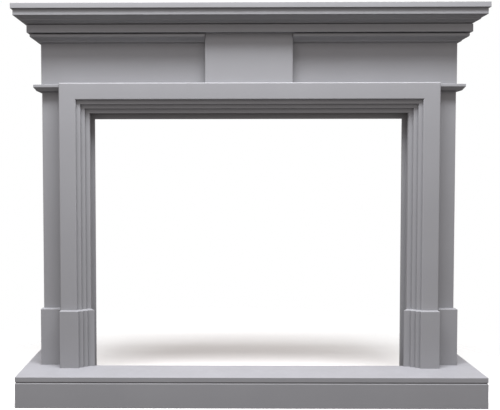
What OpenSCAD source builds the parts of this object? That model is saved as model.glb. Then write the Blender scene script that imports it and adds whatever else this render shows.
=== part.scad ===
// Fireplace mantelpiece: a painted timber-board surround on a boxed hearth.
// Front faces -Y, the wall is at +Y, Z is up. Millimetres.

/* [Opening] */
// Clear width of the fire opening
opening_w = 920; // [700:5:1120]
// Clear height of the fire opening above the hearth
opening_h = 732; // [580:2:900]

/* [Opening frame] */
// Flat face width of the opening frame
frame_face = 50; // [36:1:64]
// Width of each of the outer steps inside the flat face
frame_step = 12; // [8:1:18]
// Width of the innermost step
frame_last_step = 13; // [8:1:18]
// How far each step drops back from the one before
step_drop = 7.5; // [4:0.5:8.5]
// How far the flat face stands in front of the pilasters
frame_proud = 38; // [30:0.5:46]
// Lining showing beside the frame at each side
lining_show = 9; // [6:1:20]
// Lining showing below the frame at the top
lining_show_top = 15; // [6:1:24]
// Width of the lining strips
lining_w = 40; // [30:1:60]
// Thickness of the lining strips
lining_t = 12; // [9:1:18]

/* [Legs] */
// Width of pilaster that shows beside the frame
pilaster_w = 57; // [40:1:80]
// Distance from the wall to the pilaster face
leg_depth = 157.5; // [110:0.5:220]
// Height of the base blocks above the hearth
block_h = 167; // [120:1:220]
// How far the outer base block stands in front of the pilaster
outer_block_proud = 22; // [12:1:45]
// How far the outer base block overhangs the pilaster at the side
block_side = 4.5; // [0:0.5:10]
// How far the inner base block stands in front of the frame
inner_block_proud = 20; // [12:1:45]
// How far the inner block's steps reach past the frame's steps
block_step_over = 7.5; // [4:0.5:10]
// Set-in of the inner block from the frame's outer edge
block_inset = 2; // [0:0.5:6]
// How far the inner block reaches past the lining into the opening
block_lap = 5; // [0:0.5:8]
// Height of the frame top above the top of the capitals
capital_drop = 3; // [0:1:10]

/* [Capitals] */
// Projection of the capital's fillet
capital_out = 21; // [14:1:30]
// Height of the capital's fillet
capital_fillet = 8; // [5:1:14]
// Height of the capital's sloping underside
capital_slope = 11; // [6:1:18]
// Projection of the capital at the foot of the slope
capital_foot = 12.4; // [6:0.2:14]

/* [Frieze] */
// Height of frieze that shows above the frame
frieze_h = 122; // [80:1:170]
// How far the frieze stands outside the pilasters at each side
frieze_oversail = 2; // [0:0.5:6]
// Width of the central tablet
tablet_w = 258; // [160:2:340]
// Thickness of the central tablet
tablet_t = 20; // [10:1:26]

/* [Cornice] */
// Projection of the lower moulding's fillet
lower_out = 26.5; // [22:0.5:31]
// Height of the lower moulding above the ogee, with its groove
lower_fillet = 9; // [6:1:16]
// Height of the groove above the fillet
lower_quirk_h = 3.5; // [2:0.5:5]
// Depth of the groove above the fillet
lower_quirk_d = 10; // [4:1:14]
// Projection at the foot of the ogee
ogee_foot = 8.5; // [4:0.5:12]
// Height of the ogee
ogee_h = 15; // [10:1:26]
// Projection of the flat band
band_out = 33.5; // [31:0.5:40]
// Height of the flat band
band_h = 22.5; // [12:0.5:30]
// Number of steps in the upper moulding
crown_steps = 2; // [2:1:4]
// Projection at the foot of the upper moulding
crown_foot = 36.5; // [34:0.5:44]
// Set-back of each step from the one above
crown_run = 13; // [8:0.5:18]
// Height of each step
crown_rise = 10.5; // [5:0.5:13]
// Upright part of each step
crown_riser = 2; // [1:0.5:4]
// Gap from the top step to the edge of the under-board
crown_quirk = 3; // [0.5:0.5:8]
// Height of the groove at the foot of the upper moulding
crown_groove_h = 3; // [1:0.5:4]
// Depth of the groove at the foot of the upper moulding
crown_groove_d = 10; // [4:1:14]

/* [Shelf] */
// Thickness of the top board
shelf_t = 16; // [12:1:30]
// Thickness of the under-board
under_t = 18.5; // [12:0.5:30]
// How far the top board passes the under-board
shelf_nose = 5.5; // [2:0.5:12]

/* [Hearth] */
// Total height of the hearth
hearth_h = 88; // [60:1:130]
// Thickness of the hearth slab
slab_t = 16; // [12:1:25]
// Hearth in front of the opening frame
hearth_reach = 109.5; // [80:0.5:200]
// Hearth beside the pilaster at each side
hearth_side = 49; // [20:1:90]
// Hearth that runs in behind the face of the opening frame
hearth_lap = 10.5; // [0:0.5:20]
// Size of the bevels that meet under the slab
groove = 2.5; // [1:0.5:6]

/* [Boards] */
// Thickness of the hidden and return boards
board_t = 16; // [12:1:22]
// Cover of the carcass boards behind the last step
board_setback = 6; // [3:1:8]

/* [Hidden] */

paint = [0.60, 0.60, 0.62];
slab_paint = [0.80, 0.80, 0.83];
raw_board = [0.72, 0.62, 0.48];
curve_steps = 14;   // straight pieces in the ogee

// Widths, each measured out from the centre line.
lining_x = opening_w / 2;
frame_in = lining_x + lining_show;
frame_steps_w = frame_last_step + 2 * frame_step;
frame_flat_in = frame_in + frame_steps_w;
frame_x = frame_flat_in + frame_face;
pilaster_x = frame_x + pilaster_w;
frieze_x = pilaster_x + frieze_oversail;
carcass_in = frame_in + board_setback;
cheek_x = lining_x + lining_w;
hearth_x = pilaster_x + hearth_side;

// Projections of the cornice in front of the frieze.
crown_out = crown_foot + crown_steps * crown_run;
under_out = crown_out + crown_quirk;
shelf_out = under_out + shelf_nose;

// Depths. The hearth is the deepest piece, and the origin is under its middle.
total_d = leg_depth + frame_proud + hearth_reach;
back_y = total_d / 2;
face_y = back_y - leg_depth;
carcass_y = face_y + board_t;
frame_y = face_y - frame_proud;
last_step_y = frame_y + 3 * step_drop;
recess_y = frame_y + hearth_lap;
lining_y = carcass_y + lining_t;

// Heights.
riser_h = hearth_h - slab_t;
opening_z = hearth_h + opening_h;
frame_in_z = opening_z + lining_show_top;
frame_z = frame_in_z + frame_steps_w + frame_face;
block_z = hearth_h + block_h;
capital_z = frame_z - capital_drop;
lower_z = frame_z + frieze_h;
band_z = lower_z + ogee_h + lower_fillet;
crown_z = band_z + band_h;
under_z = crown_z + crown_steps * crown_rise;
shelf_z = under_z + under_t;
lining_z = opening_z + lining_w;

// Moulding sections as [projection, height] points, wall side first.
capital_section = [
    [0, capital_z], [0, capital_z - capital_fillet - capital_slope],
    [capital_foot, capital_z - capital_fillet - capital_slope],
    [capital_out, capital_z - capital_fillet], [capital_out, capital_z],
];
function ogee_point(t) = [
    ogee_foot + (lower_out - ogee_foot) * (1 - cos(180 * t)) / 2,
    lower_z + ogee_h * t,
];
lower_section = concat(
    [[0, band_z], [0, lower_z]],
    [for (i = [0 : curve_steps]) ogee_point(i / curve_steps)],
    [
        [lower_out, band_z - lower_quirk_h], [lower_out - lower_quirk_d, band_z - lower_quirk_h],
        [lower_out - lower_quirk_d, band_z],
    ]
);
band_section = [[0, crown_z], [0, band_z], [band_out, band_z], [band_out, crown_z]];
crown_foot_z = crown_z + crown_groove_h;
function crown_step(i) = let (
    p = crown_foot + i * crown_run,
    z = i == 0 ? crown_foot_z : crown_z + i * crown_rise
) [[p, z], [p, z + crown_riser]];
crown_section = concat(
    [[0, under_z], [0, crown_z]],
    [[crown_foot - crown_groove_d, crown_z], [crown_foot - crown_groove_d, crown_foot_z]],
    [for (i = [0 : crown_steps - 1]) each crown_step(i)],
    [[crown_out, under_z]]
);

// Opening frame section as [distance in from the outer edge, depth] points.
function frame_section(out, face, reach, front, back, last) = [
    [out, back], [out, front], [face, front], [face, front + step_drop],
    [face - reach, front + step_drop], [face - reach, front + 2 * step_drop],
    [face - 2 * reach, front + 2 * step_drop], [face - 2 * reach, front + 3 * step_drop],
    [last, front + 3 * step_drop],
];

// Helpers -------------------------------------------------------------

// A box between two corners.
module board(low, high) {
    translate(low) cube(high - low);
}

// Mirrors the right-hand piece to the left.
module to_left() {
    mirror([1, 0, 0]) children();
}

// A moulding along the front of a carcass of half width hx, cut at 45 degrees at its ends.
module front_run(section, hx, out) {
    intersection() {
        translate([-hx - out, face_y, 0]) rotate([90, 0, 90])
            linear_extrude(height = 2 * (hx + out))
                polygon([for (s = section) [-s[0], s[1]]]);
        linear_extrude(height = shelf_z)
            polygon([[-hx, face_y], [-hx - out, face_y - out], [hx + out, face_y - out], [hx, face_y]]);
    }
}

// The same moulding along the right-hand side, back to the wall.
module side_run(section, hx, out) {
    intersection() {
        translate([hx, back_y, 0]) rotate([90, 0, 0])
            linear_extrude(height = leg_depth + out) polygon(section);
        linear_extrude(height = shelf_z)
            polygon([[hx, face_y], [hx + out, face_y - out], [hx + out, back_y], [hx, back_y]]);
    }
}

// Keeps the part of its children between two x values.
module between(x0, x1) {
    intersection() {
        children();
        board([x0, -total_d, 0], [x1, total_d, 2 * shelf_z]);
    }
}

// Hearth ----------------------------------------------------------------

// The slab's front and side edges carry the upper half of the groove.
module hearth_slab() {
    color(slab_paint) difference() {
        translate([0, 0, riser_h]) linear_extrude(height = slab_t)
            polygon([
                [-hearth_x, -back_y], [hearth_x, -back_y], [hearth_x, back_y], [cheek_x, back_y],
                [cheek_x, carcass_y], [frame_in, carcass_y], [frame_in, recess_y],
                [-frame_in, recess_y], [-frame_in, carcass_y], [-cheek_x, carcass_y],
                [-cheek_x, back_y], [-hearth_x, back_y],
            ]);
        all_groove_cuts();
    }
}

// A square bar on edge, centred on an arris, that cuts a 45 degree bevel.
module groove_cut(length) {
    rotate([45, 0, 0]) cube([length, sqrt(2) * groove, sqrt(2) * groove], center = true);
}

// The bars along the front and both sides of the hearth, under the slab.
module all_groove_cuts() {
    translate([0, -back_y, riser_h]) groove_cut(2 * hearth_x + 2 * groove);
    for (side = [-1, 1])
        translate([side * hearth_x, 0, riser_h]) rotate([0, 0, 90]) groove_cut(2 * total_d);
}

// The risers are mitred at the corners and carry the lower half of the groove.
module hearth_front_riser() {
    color(paint) difference() {
        linear_extrude(height = riser_h)
            polygon([
                [-hearth_x, -back_y], [hearth_x, -back_y],
                [hearth_x - board_t, board_t - back_y], [board_t - hearth_x, board_t - back_y],
            ]);
        all_groove_cuts();
    }
}

module hearth_side_riser_right() {
    color(paint) difference() {
        linear_extrude(height = riser_h)
            polygon([
                [hearth_x, -back_y], [hearth_x, back_y],
                [hearth_x - board_t, back_y], [hearth_x - board_t, board_t - back_y],
            ]);
        all_groove_cuts();
    }
}

module hearth_side_riser_left() { to_left() hearth_side_riser_right(); }

module hearth_back_rail() {
    color(raw_board) board([-cheek_x, recess_y - board_t, 0], [cheek_x, recess_y, riser_h]);
}

module hearth_cheek_right() {
    color(raw_board) board([cheek_x, recess_y - board_t, 0], [cheek_x + board_t, back_y, riser_h]);
}
module hearth_cheek_left() { to_left() hearth_cheek_right(); }

// Legs --------------------------------------------------------------------

module pilaster_right() {
    color(paint) board([carcass_in, face_y, hearth_h], [pilaster_x, carcass_y, capital_z]);
}
module pilaster_left() { to_left() pilaster_right(); }

module leg_return_right() {
    color(paint) board([pilaster_x - board_t, carcass_y, hearth_h], [pilaster_x, back_y, capital_z]);
}
module leg_return_left() { to_left() leg_return_right(); }

module leg_inner_board_right() {
    color(raw_board) board([cheek_x, carcass_y, hearth_h], [cheek_x + board_t, back_y, capital_z]);
}
module leg_inner_board_left() { to_left() leg_inner_board_right(); }

module outer_base_block_right() {
    color(paint)
        board([frame_x - block_inset, face_y - outer_block_proud, hearth_h],
            [pilaster_x + block_side, face_y, block_z]);
}
module outer_base_block_left() { to_left() outer_base_block_right(); }

// The inner block repeats the frame's steps. Its inner end is cut back to the frame's last step.
module inner_base_block_right() {
    color(paint) translate([0, 0, hearth_h]) linear_extrude(height = block_h)
        polygon(concat(
            frame_section(frame_x - block_inset, frame_flat_in - block_step_over, frame_step,
                frame_y - inner_block_proud, face_y, lining_x - block_lap),
            [[frame_in, last_step_y], [frame_in, face_y]]
        ));
}
module inner_base_block_left() { to_left() inner_base_block_right(); }

// Opening frame ---------------------------------------------------------

module frame_profile() {
    inner = -frame_face - frame_steps_w;
    polygon(concat(frame_section(0, -frame_face, frame_step, frame_y, face_y, inner), [[inner, face_y]]));
}

// Keeps the part of its children inside an outline of [x, height] points.
module cut_to(outline) {
    intersection() {
        children();
        translate([0, total_d, 0]) rotate([90, 0, 0]) linear_extrude(height = 2 * total_d) polygon(outline);
    }
}

// The leg stands on the inner base block and is mitred into the header.
module frame_leg_right() {
    color(paint) cut_to([[frame_x, 0], [frame_x, frame_z], [frame_x - frame_z, 0]])
        translate([frame_x, 0, block_z]) linear_extrude(height = frame_z - block_z) frame_profile();
}
module frame_leg_left() { to_left() frame_leg_right(); }

module frame_header() {
    color(paint) cut_to([[-frame_x, frame_z], [frame_x, frame_z], [0, frame_z - frame_x]])
        translate([-frame_x, 0, frame_z]) rotate([0, 90, 0])
            linear_extrude(height = 2 * frame_x) mirror([1, 0]) frame_profile();
}

// The side strips pass down behind the hearth's top to the floor.
module lining_strip_right() {
    color(paint) board([lining_x, carcass_y, 0], [cheek_x, lining_y, opening_z]);
}
module lining_strip_left() { to_left() lining_strip_right(); }

module lining_strip_top() {
    color(paint) board([-cheek_x, carcass_y, opening_z], [cheek_x, lining_y, lining_z]);
}

module lintel_board() {
    color(raw_board) board([-carcass_in, face_y, frame_in_z + board_setback],
        [carcass_in, carcass_y, capital_z]);
}

module soffit_board() {
    color(raw_board) board([-cheek_x, carcass_y, lining_z], [cheek_x, back_y, lining_z + board_t]);
}

// Capitals ----------------------------------------------------------------

module capital_front_right() {
    color(paint) between(frame_x, 2 * pilaster_x) front_run(capital_section, pilaster_x, capital_out);
}
module capital_front_left() { to_left() capital_front_right(); }

module capital_return_right() { color(paint) side_run(capital_section, pilaster_x, capital_out); }
module capital_return_left() { to_left() capital_return_right(); }

// Frieze --------------------------------------------------------------------

module frieze_board() {
    color(paint) board([-frieze_x, face_y, capital_z], [frieze_x, carcass_y, under_z]);
}

module frieze_return_right() {
    color(paint) board([frieze_x - board_t, carcass_y, capital_z], [frieze_x, back_y, under_z]);
}
module frieze_return_left() { to_left() frieze_return_right(); }

module centre_tablet() {
    color(paint) board([-tablet_w / 2, face_y - tablet_t, frame_z], [tablet_w / 2, face_y, band_z]);
}

// Cornice -------------------------------------------------------------------

// The lower moulding stops at each side of the tablet.
module lower_moulding_right() {
    color(paint) between(tablet_w / 2, 2 * frieze_x) front_run(lower_section, frieze_x, lower_out);
}
module lower_moulding_left() { to_left() lower_moulding_right(); }

module lower_moulding_return_right() { color(paint) side_run(lower_section, frieze_x, lower_out); }
module lower_moulding_return_left() { to_left() lower_moulding_return_right(); }

module cornice_band_front() { color(paint) front_run(band_section, frieze_x, band_out); }
module cornice_band_return_right() { color(paint) side_run(band_section, frieze_x, band_out); }
module cornice_band_return_left() { to_left() cornice_band_return_right(); }

module crown_moulding_front() { color(paint) front_run(crown_section, frieze_x, crown_out); }
module crown_moulding_return_right() { color(paint) side_run(crown_section, frieze_x, crown_out); }
module crown_moulding_return_left() { to_left() crown_moulding_return_right(); }

// Shelf -----------------------------------------------------------------------

module shelf_under_board() {
    color(paint) board([-frieze_x - under_out, face_y - under_out, under_z],
        [frieze_x + under_out, back_y, shelf_z]);
}

module mantel_shelf() {
    color(paint) board([-frieze_x - shelf_out, face_y - shelf_out, shelf_z],
        [frieze_x + shelf_out, back_y, shelf_z + shelf_t]);
}

hearth_slab();
hearth_front_riser();
hearth_side_riser_left();
hearth_side_riser_right();
hearth_back_rail();
hearth_cheek_left();
hearth_cheek_right();
pilaster_left();
pilaster_right();
leg_return_left();
leg_return_right();
leg_inner_board_left();
leg_inner_board_right();
outer_base_block_left();
outer_base_block_right();
inner_base_block_left();
inner_base_block_right();
frame_leg_left();
frame_leg_right();
frame_header();
lining_strip_left();
lining_strip_right();
lining_strip_top();
lintel_board();
soffit_board();
capital_front_left();
capital_front_right();
capital_return_left();
capital_return_right();
frieze_board();
frieze_return_left();
frieze_return_right();
centre_tablet();
lower_moulding_left();
lower_moulding_right();
lower_moulding_return_left();
lower_moulding_return_right();
cornice_band_front();
cornice_band_return_left();
cornice_band_return_right();
crown_moulding_front();
crown_moulding_return_left();
crown_moulding_return_right();
shelf_under_board();
mantel_shelf();
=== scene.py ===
import math

import bpy
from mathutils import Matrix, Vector
from mathutils.bvhtree import BVHTree


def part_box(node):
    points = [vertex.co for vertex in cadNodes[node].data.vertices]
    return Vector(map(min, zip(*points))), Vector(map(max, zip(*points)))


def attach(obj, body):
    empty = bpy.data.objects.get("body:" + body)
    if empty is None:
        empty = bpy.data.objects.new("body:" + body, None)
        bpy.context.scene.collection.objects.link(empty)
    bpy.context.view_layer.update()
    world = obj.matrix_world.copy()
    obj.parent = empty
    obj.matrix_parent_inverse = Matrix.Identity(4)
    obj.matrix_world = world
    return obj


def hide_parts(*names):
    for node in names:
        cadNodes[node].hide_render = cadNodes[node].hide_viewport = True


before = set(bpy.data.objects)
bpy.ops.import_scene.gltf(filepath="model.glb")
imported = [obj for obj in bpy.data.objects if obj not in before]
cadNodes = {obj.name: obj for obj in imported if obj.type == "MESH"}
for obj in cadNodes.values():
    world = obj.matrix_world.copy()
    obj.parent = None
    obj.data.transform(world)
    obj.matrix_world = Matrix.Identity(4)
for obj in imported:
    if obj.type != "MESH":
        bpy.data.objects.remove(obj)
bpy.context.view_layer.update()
print("frame loaded,", len(cadNodes), "boards")


# colour sockets of a mix node
mixFirst = 6
mixSecond = 7
mixResult = 2
noiseSpan = (0.3, 0.7)  # most of a noise lies between these


def onlySelect(piece):
    bpy.ops.object.select_all(action="DESELECT")
    piece.select_set(True)
    bpy.context.view_layer.objects.active = piece


def newGroup(name, inputs, outputs):
    group = bpy.data.node_groups.new(name, "ShaderNodeTree")
    for label, kind, value in inputs:
        socket = group.interface.new_socket(label, in_out="INPUT", socket_type=kind)
        socket.default_value = value
    for label, kind in outputs:
        group.interface.new_socket(label, in_out="OUTPUT", socket_type=kind)
    start = group.nodes.new("NodeGroupInput")
    end = group.nodes.new("NodeGroupOutput")
    return group, start, end


def addNoise(group, coordinates, scale, grain):
    noise = group.nodes.new("ShaderNodeTexNoise")
    noise.inputs["Detail"].default_value, noise.inputs["Roughness"].default_value = grain
    if isinstance(scale, (int, float)):
        noise.inputs["Scale"].default_value = scale
    else:
        group.links.new(scale, noise.inputs["Scale"])
    group.links.new(coordinates, noise.inputs["Vector"])
    return noise.outputs["Fac"]


def addRange(group, value, fromLow, fromHigh, toLow, toHigh):
    spread = group.nodes.new("ShaderNodeMapRange")
    spread.inputs["From Min"].default_value = fromLow
    spread.inputs["From Max"].default_value = fromHigh
    for socket, amount in (("To Min", toLow), ("To Max", toHigh)):
        if isinstance(amount, (int, float)):
            spread.inputs[socket].default_value = amount
        else:
            group.links.new(amount, spread.inputs[socket])
    group.links.new(value, spread.inputs["Value"])
    return spread.outputs["Result"]


viewpoint = {
    "place": (-0.1106, -2.0914, 0.6789),  # metres, a seated person's eye
    "turn": (87.884, 0.055, 0.502),  # degrees
    "lens": 50.473,
    "sensorWidth": 36,
    "shift": (0.0898, -0.0260),
    "clip": (0.05, 60),
}


def addCamera():
    bpy.ops.object.camera_add(location=viewpoint["place"])
    camera = bpy.context.object
    camera.name = "studioCamera"
    camera.rotation_euler = [math.radians(a) for a in viewpoint["turn"]]
    camera.data.sensor_width = viewpoint["sensorWidth"]
    camera.data.lens = viewpoint["lens"]
    camera.data.shift_x, camera.data.shift_y = viewpoint["shift"]
    camera.data.clip_start, camera.data.clip_end = viewpoint["clip"]
    bpy.context.scene.camera = camera


studio = {
    "floorRadius": 6,
    "floorSides": 96,
    "floorColour": (0.93, 0.93, 0.93),  # as seen
    "floorBounce": (0.10, 0.10, 0.10),  # as it lights the boards
    "floorFade": (0.35, 1.3),  # metres from the middle over which the floor melts into the backdrop
    "backdropColour": (1.0, 1.0, 1.0),
    "fillColour": (0.755, 0.706, 0.687),
    "fillFromBelow": 0.36,  # share of the fill that is left below the horizon
    "horizonBand": (-0.3, 0.1),  # where that share begins and ends, as the height of a unit arrow
    "fillFromBehind": 0.65,  # share that is left behind the object
    "lampAim": (0, -0.03, 0.6),
    "lampColour": (1.0, 1.0, 1.02),
    # place, width and depth in metres, watts
    "lamps": {
        "highSoftbox": ((0, -1.00, 3.4), 2.4, 0.8, 153),
        "overheadSoftbox": ((0, -0.65, 2.5), 2.0, 0.3, 27),
        "leftSoftbox": ((-1.3, -0.90, 2.3), 0.8, 0.5, 11),
        "rightSoftbox": ((1.3, -0.90, 2.3), 0.8, 0.5, 2),
    },
}


def addLamp(name, place, width, depth, watts):
    bpy.ops.object.light_add(type="AREA", location=place)
    lamp = bpy.context.object
    lamp.name = name
    lamp.data.shape = "RECTANGLE"
    lamp.data.size = width
    lamp.data.size_y = depth
    lamp.data.energy = watts
    lamp.data.color = studio["lampColour"]
    aim = Vector(studio["lampAim"]) - Vector(place)
    lamp.rotation_euler = aim.to_track_quat("-Z", "Y").to_euler()


def addStudioFloor():
    bpy.ops.mesh.primitive_circle_add(
        vertices=studio["floorSides"], radius=studio["floorRadius"], fill_type="NGON"
    )
    floor = bpy.context.object
    floor.name = "studioFloor"
    paleFloor = bpy.data.materials.new("paleFloor")
    paleFloor.use_nodes = True
    nodes, links = paleFloor.node_tree.nodes, paleFloor.node_tree.links
    shader = nodes["Principled BSDF"]
    shader.inputs["Roughness"].default_value = 1.0
    shader.inputs["Specular IOR Level"].default_value = 0.0
    seen = nodes.new("ShaderNodeLightPath")
    shade = nodes.new("ShaderNodeMix")
    shade.data_type = "RGBA"
    shade.inputs[mixFirst].default_value = (*studio["floorBounce"], 1)
    shade.inputs[mixSecond].default_value = (*studio["floorColour"], 1)
    links.new(seen.outputs["Is Camera Ray"], shade.inputs["Factor"])
    links.new(shade.outputs[mixResult], shader.inputs["Base Color"])
    # the floor thins out with distance, so no edge or horizon shows
    away = nodes.new("ShaderNodeVectorMath")
    away.operation = "LENGTH"
    links.new(nodes.new("ShaderNodeTexCoord").outputs["Object"], away.inputs[0])
    fade = nodes.new("ShaderNodeMapRange")
    fade.interpolation_type = "SMOOTHSTEP"
    for socket, distance in zip(("From Min", "From Max"), studio["floorFade"]):
        fade.inputs[socket].default_value = distance
    links.new(away.outputs["Value"], fade.inputs["Value"])
    clear = nodes.new("ShaderNodeBsdfTransparent")
    melt = nodes.new("ShaderNodeMixShader")
    links.new(fade.outputs["Result"], melt.inputs["Fac"])
    links.new(shader.outputs["BSDF"], melt.inputs[1])
    links.new(clear.outputs["BSDF"], melt.inputs[2])
    links.new(melt.outputs["Shader"], nodes["Material Output"].inputs["Surface"])
    floor.data.materials.append(paleFloor)


def addBackdrop():
    # a white backdrop, and a softer fill that comes mostly from the front and above
    world = bpy.data.worlds.new("studioBackdrop")
    world.use_nodes = True
    tree = world.node_tree
    nodes, links = tree.nodes, tree.links
    fill = nodes["Background"]
    fill.inputs["Color"].default_value = (*studio["fillColour"], 1)
    heading = nodes.new("ShaderNodeSeparateXYZ")
    links.new(nodes.new("ShaderNodeTexCoord").outputs["Generated"], heading.inputs["Vector"])
    strength = nodes.new("ShaderNodeMath")
    strength.operation = "MULTIPLY"
    upward = addRange(
        tree, heading.outputs["Z"], *studio["horizonBand"], studio["fillFromBelow"], 1.0
    )
    forward = addRange(tree, heading.outputs["Y"], -1.0, 1.0, 1.0, studio["fillFromBehind"])
    links.new(upward, strength.inputs[0])
    links.new(forward, strength.inputs[1])
    links.new(strength.outputs["Value"], fill.inputs["Strength"])
    backdrop = nodes.new("ShaderNodeBackground")
    backdrop.inputs["Color"].default_value = (*studio["backdropColour"], 1)
    seen = nodes.new("ShaderNodeLightPath")
    choose = nodes.new("ShaderNodeMixShader")
    links.new(seen.outputs["Is Camera Ray"], choose.inputs["Fac"])
    links.new(fill.outputs["Background"], choose.inputs[1])
    links.new(backdrop.outputs["Background"], choose.inputs[2])
    links.new(choose.outputs["Shader"], nodes["World Output"].inputs["Surface"])
    bpy.context.scene.world = world


def addStudio():
    addStudioFloor()
    addBackdrop()
    for name, lamp in studio["lamps"].items():
        addLamp(name, *lamp)
    bpy.context.scene.view_settings.view_transform = "Standard"


addCamera()
addStudio()
print("studio ready")


coatTexture = {
    "driftScale": 5.0,
    "driftGrain": (3, 0.55),  # detail and roughness
    "hazeScale": 38.0,
    "hazeGrain": (2, 0.6),
    "peelScale": 700.0,
    "peelGrain": (1, 0.4),
}
fibreTexture = {
    "shadeScale": 7.0,
    "shadeGrain": (4, 0.6),
    "fleckScale": 420.0,
    "fleckGrain": (4, 0.75),
    "fleckSpan": (0.35, 0.68),
}
dustAndTopLightTexture = {
    "facing": (0.75, 0.98),  # how squarely a face looks up where the dust and painted top light begin and where they are full
    "patchScale": 14.0,
    "patchGrain": (4, 0.6),
    "thinnestPatch": 0.55,
}


def makeSprayedCoat():
    # mottle and gloss drift in the coat, and the fine peel that a spray gun leaves
    group, start, end = newGroup(
        "sprayedCoat",
        [
            ("Drift Scale", "NodeSocketFloat", coatTexture["driftScale"]),
            ("Peel Scale", "NodeSocketFloat", coatTexture["peelScale"]),
            ("Dullest", "NodeSocketFloat", 0.6),
            ("Glossiest", "NodeSocketFloat", 0.45),
        ],
        [("Mottle", "NodeSocketFloat"), ("Gloss", "NodeSocketFloat"), ("Peel", "NodeSocketFloat")],
    )
    place = group.nodes.new("ShaderNodeTexCoord").outputs["Object"]
    drift = addNoise(group, place, start.outputs["Drift Scale"], coatTexture["driftGrain"])
    group.links.new(addRange(group, drift, *noiseSpan, 0.0, 1.0), end.inputs["Mottle"])
    haze = addNoise(group, place, coatTexture["hazeScale"], coatTexture["hazeGrain"])
    gloss = addRange(group, haze, *noiseSpan, start.outputs["Dullest"], start.outputs["Glossiest"])
    group.links.new(gloss, end.inputs["Gloss"])
    peel = addNoise(group, place, start.outputs["Peel Scale"], coatTexture["peelGrain"])
    group.links.new(peel, end.inputs["Peel"])
    return group


def makeBoardFibre():
    # pressed fibre: dark and pale flecks over a slow change of shade
    group, start, end = newGroup(
        "boardFibre",
        [("Fleck Scale", "NodeSocketFloat", fibreTexture["fleckScale"])],
        [("Shade", "NodeSocketFloat"), ("Fleck", "NodeSocketFloat")],
    )
    place = group.nodes.new("ShaderNodeTexCoord").outputs["Object"]
    shade = addNoise(group, place, fibreTexture["shadeScale"], fibreTexture["shadeGrain"])
    group.links.new(addRange(group, shade, *noiseSpan, 0.0, 1.0), end.inputs["Shade"])
    fleck = addNoise(group, place, start.outputs["Fleck Scale"], fibreTexture["fleckGrain"])
    group.links.new(addRange(group, fleck, *fibreTexture["fleckSpan"], 0.0, 1.0), end.inputs["Fleck"])
    return group


def makeDustAndTopLight():
    # a thin film on faces that look up: dust, and painted top light where the overhead lamps fall on the
    # tops
    group, start, end = newGroup(
        "restingDust",
        [("Amount", "NodeSocketFloat", 0.2)],
        [("Mask", "NodeSocketFloat")],
    )
    place = group.nodes.new("ShaderNodeTexCoord").outputs["Object"]
    facing = group.nodes.new("ShaderNodeSeparateXYZ")
    geometry = group.nodes.new("ShaderNodeNewGeometry")
    group.links.new(geometry.outputs["Normal"], facing.inputs["Vector"])
    upward = addRange(group, facing.outputs["Z"], *dustAndTopLightTexture["facing"], 0.0, 1.0)
    cloud = addNoise(group, place, dustAndTopLightTexture["patchScale"], dustAndTopLightTexture["patchGrain"])
    patch = addRange(group, cloud, *noiseSpan, dustAndTopLightTexture["thinnestPatch"], 1.0)
    film = group.nodes.new("ShaderNodeMath")
    film.operation = "MULTIPLY"
    group.links.new(upward, film.inputs[0])
    group.links.new(patch, film.inputs[1])
    spread = group.nodes.new("ShaderNodeMath")
    spread.operation = "MULTIPLY"
    group.links.new(film.outputs["Value"], spread.inputs[0])
    group.links.new(start.outputs["Amount"], spread.inputs[1])
    group.links.new(spread.outputs["Value"], end.inputs["Mask"])
    return group


sprayedCoat = makeSprayedCoat()
boardFibre = makeBoardFibre()
# dust and painted top light: a lighter film on faces that look up
restingDust = makeDustAndTopLight()
print("textures ready")


def placeGroup(material, group, values):
    node = material.node_tree.nodes.new("ShaderNodeGroup")
    node.node_tree = group
    for label, value in values.items():
        node.inputs[label].default_value = value
    return node


def addMix(material, factor, first, second):
    # first and second are colours, or first is a socket to build on
    mix = material.node_tree.nodes.new("ShaderNodeMix")
    mix.data_type = "RGBA"
    material.node_tree.links.new(factor, mix.inputs["Factor"])
    if isinstance(first, tuple):
        mix.inputs[mixFirst].default_value = (*first, 1)
    else:
        material.node_tree.links.new(first, mix.inputs[mixFirst])
    mix.inputs[mixSecond].default_value = (*second, 1)
    return mix.outputs[mixResult]


def addBump(material, shader, height, strength, distance):
    bump = material.node_tree.nodes.new("ShaderNodeBump")
    bump.inputs["Strength"].default_value = strength
    bump.inputs["Distance"].default_value = distance
    material.node_tree.links.new(height, bump.inputs["Height"])
    material.node_tree.links.new(bump.outputs["Normal"], shader.inputs["Normal"])


satinPaint = {
    "colour": (0.250, 0.2535, 0.268),
    "mottleColour": (0.239, 0.242, 0.256),
    # a lighter, bluer colour on faces that look up: dust, and the painted highlight of the overhead lamps
    "dustColour": (0.38, 0.38, 0.42),
    "dust": 0.12,
    "dullest": 0.62,
    "glossiest": 0.50,
    "peelStrength": 0.25,
    "peelDepth": 0.0001,
    "specular": 0.35,
}
hearthCoat = {**satinPaint, "dust": 0.3}  # more dust and more painted top light on the hearth
rawFibreboard = {
    "colour": (0.38, 0.27, 0.165),
    "shadeColour": (0.31, 0.215, 0.13),
    "fleckColour": (0.20, 0.13, 0.075),
    "fleckStrength": 0.3,
    "fleckDepth": 0.0002,
    "fleckShare": 0.45,  # of the flecked colour over the shaded one
    "roughness": 0.88,
    "specular": 0.2,
}


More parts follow.
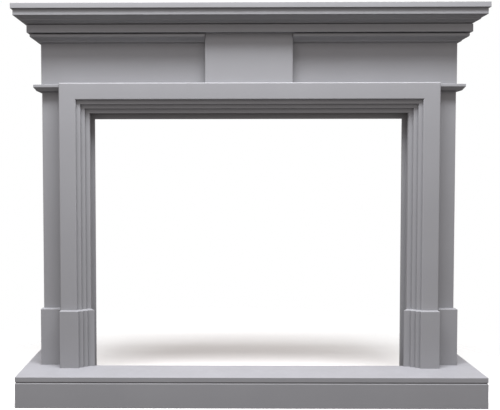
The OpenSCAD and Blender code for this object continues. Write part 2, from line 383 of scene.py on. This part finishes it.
def makeSatinPaint(name, settings):
    material = bpy.data.materials.new(name)
    material.use_nodes = True
    links = material.node_tree.links
    shader = material.node_tree.nodes["Principled BSDF"]
    coat = placeGroup(material, sprayedCoat, {
        "Dullest": settings["dullest"],
        "Glossiest": settings["glossiest"],
    })
    # the dust and painted top light go over the paint on faces that look up
    dust = placeGroup(material, restingDust, {"Amount": settings["dust"]})
    paint = addMix(material, coat.outputs["Mottle"], settings["colour"], settings["mottleColour"])
    dustyAndLit = addMix(material, dust.outputs["Mask"], paint, settings["dustColour"])
    links.new(dustyAndLit, shader.inputs["Base Color"])
    links.new(coat.outputs["Gloss"], shader.inputs["Roughness"])
    shader.inputs["Specular IOR Level"].default_value = settings["specular"]
    addBump(material, shader, coat.outputs["Peel"], settings["peelStrength"], settings["peelDepth"])
    return material


def makeRawBoard(settings):
    material = bpy.data.materials.new("rawFibreboard")
    material.use_nodes = True
    shader = material.node_tree.nodes["Principled BSDF"]
    fibre = placeGroup(material, boardFibre, {})
    board = addMix(material, fibre.outputs["Shade"], settings["colour"], settings["shadeColour"])
    flecked = addMix(material, fibre.outputs["Fleck"], settings["fleckColour"], settings["colour"])
    blend = material.node_tree.nodes.new("ShaderNodeMix")
    blend.data_type = "RGBA"
    blend.inputs["Factor"].default_value = settings["fleckShare"]
    material.node_tree.links.new(board, blend.inputs[mixFirst])
    material.node_tree.links.new(flecked, blend.inputs[mixSecond])
    material.node_tree.links.new(blend.outputs[mixResult], shader.inputs["Base Color"])
    shader.inputs["Roughness"].default_value = settings["roughness"]
    shader.inputs["Specular IOR Level"].default_value = settings["specular"]
    addBump(material, shader, fibre.outputs["Fleck"], settings["fleckStrength"], settings["fleckDepth"])
    return material


surroundPaint = makeSatinPaint("surroundPaint", satinPaint)
hearthPaint = makeSatinPaint("hearthPaint", hearthCoat)
rawBoard = makeRawBoard(rawFibreboard)
print("paints mixed")


easing = {
    "sharpAngle": 25,  # degrees, gentler turns are left as they are
    "smoothAngle": 40,
    "bevelSegments": 3,
    "flatAngle": 1,
    "weld": 0.00001,
    "probeReach": 0.0008,  # how far off a face the room beside an arris is tested
    "probeShares": (0.3, 0.5, 0.7),  # where along an arris
    "freeProbes": 2,  # how many of those have to be open
    "frontSlack": 0.0001,
    "frontDepth": 0.003,  # arrises this close behind the front keep their edge
    "sameWay": 0.99,  # cosine from which a face counts as one of the raw sides
}
probeAim = Vector((0.31, 0.47, 0.83)).normalized()
solidBoards = {}
for node, board in cadNodes.items():
    corners = [corner.co for corner in board.data.vertices]
    tree = BVHTree.FromPolygons(corners, [face.vertices for face in board.data.polygons])
    solidBoards[node] = (tree, *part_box(node))


def insideBoard(node, point):
    tree, low, high = solidBoards[node]
    if any(point[i] < low[i] or point[i] > high[i] for i in range(3)):
        return False
    crossings = 0
    start = point.copy()
    while True:
        place = tree.ray_cast(start, probeAim)[0]
        if place is None:
            return crossings % 2 == 1
        crossings += 1
        start = place + probeAim * easing["weld"]


def isCovered(node, point):
    return any(insideBoard(other, point) for other in solidBoards if other != node)


def standsFree(node, ends, faces):
    # true where most of an arris has open room beside both of its faces
    along = (ends[1] - ends[0]).normalized()
    free = 0
    for share in easing["probeShares"]:
        spot = ends[0].lerp(ends[1], share)
        probes = [spot + (faces[0][0] + faces[1][0]).normalized() * easing["probeReach"]]
        for normal, centre in faces:
            inward = along.cross(normal)
            if inward.dot(centre - spot) < 0:
                inward.negate()
            probes.append(spot + (normal + inward) * easing["probeReach"])
        free += not any(isCovered(node, probe) for probe in probes)
    return free >= easing["freeProbes"]


def pickArrises(piece, node, chosen):
    # selects the sharp outer edges that can be seen and touched
    mesh = piece.data
    beside = {}
    for face in mesh.polygons:
        for key in face.edge_keys:
            beside.setdefault(key, []).append(face)
    for part in (mesh.vertices, mesh.edges, mesh.polygons):
        part.foreach_set("select", [False] * len(part))
    picked = 0
    for edge in mesh.edges:
        faces = beside.get(tuple(sorted(edge.vertices)), [])
        if len(faces) != 2:
            continue
        turn = faces[0].normal.angle(faces[1].normal, 0)
        outward = (faces[1].center - faces[0].center).dot(faces[0].normal) < 0
        if turn < math.radians(easing["sharpAngle"]) or not outward:
            continue
        ends = [mesh.vertices[i].co for i in edge.vertices]
        sides = [(face.normal.copy(), face.center.copy()) for face in faces]
        if chosen(ends) and standsFree(node, ends, sides):
            edge.select = True
            picked += 1
    return picked


def bevelArrises(piece, node, radius, chosen=lambda ends: True):
    picked = pickArrises(piece, node, chosen)
    if picked:
        bpy.ops.object.mode_set(mode="EDIT")
        bpy.ops.mesh.bevel(
            offset=radius, segments=easing["bevelSegments"], profile=0.5, affect="EDGES", clamp_overlap=True
        )
        bpy.ops.object.mode_set(mode="OBJECT")
    return picked


sideNormals = {
    "left": Vector((-1, 0, 0)),
    "right": Vector((1, 0, 0)),
    "back": Vector((0, 1, 0)),
    "under": Vector((0, 0, -1)),
}


def innerSide(node):
    # the side that faces the centre line
    if node.endswith("_left"):
        return "right"
    if node.endswith("_right"):
        return "left"
    return "back"


def leaveRaw(piece, node, sides):
    # the named sides keep the bare board
    bare = [sideNormals[innerSide(node) if side == "inner" else side] for side in sides]
    for face in piece.data.polygons:
        if any(face.normal.dot(normal) > easing["sameWay"] for normal in bare):
            face.material_index = 1


def plainName(node):
    first, *rest = node.split("_")
    return first + "".join(word.capitalize() for word in rest)


def isOnFront(ends, front):
    return max(end.y for end in ends) < front + easing["frontSlack"]


def isBehindFront(ends, front):
    return min(end.y for end in ends) > front + easing["frontSlack"] + easing["frontDepth"]


def finishBoard(node, coat, group):
    source = cadNodes[node]
    piece = bpy.data.objects.new(plainName(node), source.data.copy())
    bpy.context.scene.collection.objects.link(piece)
    piece.data.name = piece.name
    piece.data.materials.clear()
    piece.data.materials.append(coat)
    piece.data.materials.append(rawBoard)
    onlySelect(piece)
    bpy.ops.mesh.customdata_custom_splitnormals_clear()
    bpy.ops.object.mode_set(mode="EDIT")
    bpy.ops.mesh.select_mode(type="EDGE")
    bpy.ops.mesh.select_all(action="SELECT")
    bpy.ops.mesh.remove_doubles(threshold=easing["weld"])
    bpy.ops.mesh.dissolve_limited(angle_limit=math.radians(easing["flatAngle"]))
    bpy.ops.object.mode_set(mode="OBJECT")
    if "frontArris" in group:
        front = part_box(node)[0].y
        picked = bevelArrises(piece, node, group["frontArris"], lambda ends: isOnFront(ends, front))
        picked += bevelArrises(piece, node, group["arris"], lambda ends: isBehindFront(ends, front))
    else:
        picked = bevelArrises(piece, node, group["arris"])
    bpy.ops.object.shade_smooth_by_angle(angle=math.radians(easing["smoothAngle"]))
    evening = piece.modifiers.new("evenFaces", "WEIGHTED_NORMAL")
    evening.keep_sharp = True
    bpy.ops.object.modifier_apply(modifier=evening.name)
    leaveRaw(piece, node, group["rawSides"])
    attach(piece, "root")
    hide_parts(node)
    return picked


def bothSides(*names):
    return [f"{name}_{side}" for name in names for side in ("left", "right")]


# the boards of each group, the width of the eased arrises in metres, and the sides left unpainted
shelf = {
    "boards": ["mantel_shelf", "shelf_under_board"],
    "arris": 0.0016,
    "rawSides": ["back"],
}
cornice = {
    "boards": ["crown_moulding_front", "cornice_band_front"]
    + bothSides("crown_moulding_return", "cornice_band_return")
    + bothSides("lower_moulding", "lower_moulding_return"),
    "arris": 0.0008,
    "rawSides": ["back"],
}
frieze = {
    "boards": ["frieze_board"],
    "arris": 0.0015,
    "rawSides": ["back"],
}
tablet = {
    "boards": ["centre_tablet"],
    "arris": 0.003,
    "rawSides": ["back"],
}
capitals = {
    "boards": bothSides("capital_front", "capital_return"),
    "arris": 0.0010,
    "rawSides": ["back"],
}
pilasters = {
    "boards": bothSides("pilaster"),
    "arris": 0.0020,
    "rawSides": ["back"],
}
sideReturns = {
    "boards": bothSides("leg_return", "frieze_return"),
    "arris": 0.0015,
    "rawSides": ["back", "inner"],
}
baseBlocks = {
    "boards": bothSides("outer_base_block", "inner_base_block"),
    "arris": 0.0012,
    "rawSides": ["back"],
}
openingFrame = {
    "boards": ["frame_header", *bothSides("frame_leg")],
    "arris": 0.0015,
    "frontArris": 0.0035,
    "rawSides": ["back"],
}
lining = {
    "boards": ["lining_strip_top", *bothSides("lining_strip")],
    "arris": 0.0010,
    "rawSides": ["back"],
}
hearthSlab = {
    "boards": ["hearth_slab"],
    "arris": 0.0010,
    "rawSides": ["back", "under"],
}
hearthRisers = {
    "boards": ["hearth_front_riser", *bothSides("hearth_side_riser")],
    "arris": 0.0010,
    "rawSides": ["back", "under", "inner"],
}
roughBoards = {
    "boards": ["lintel_board", "soffit_board", "hearth_back_rail"]
    + bothSides("leg_inner_board", "hearth_cheek"),
    "arris": 0.0006,
    "rawSides": [],
}

paintedGroups = [
    shelf, cornice, frieze, tablet, capitals, pilasters, sideReturns,
    baseBlocks, openingFrame, lining, hearthRisers,
]
for group in paintedGroups:
    for node in group["boards"]:
        picked = finishBoard(node, surroundPaint, group)
        print(" ", plainName(node), picked, "arrises eased")
for node in hearthSlab["boards"]:
    finishBoard(node, hearthPaint, hearthSlab)
print("painted boards finished")
for node in roughBoards["boards"]:
    finishBoard(node, rawBoard, roughBoards)
print("rough boards finished")
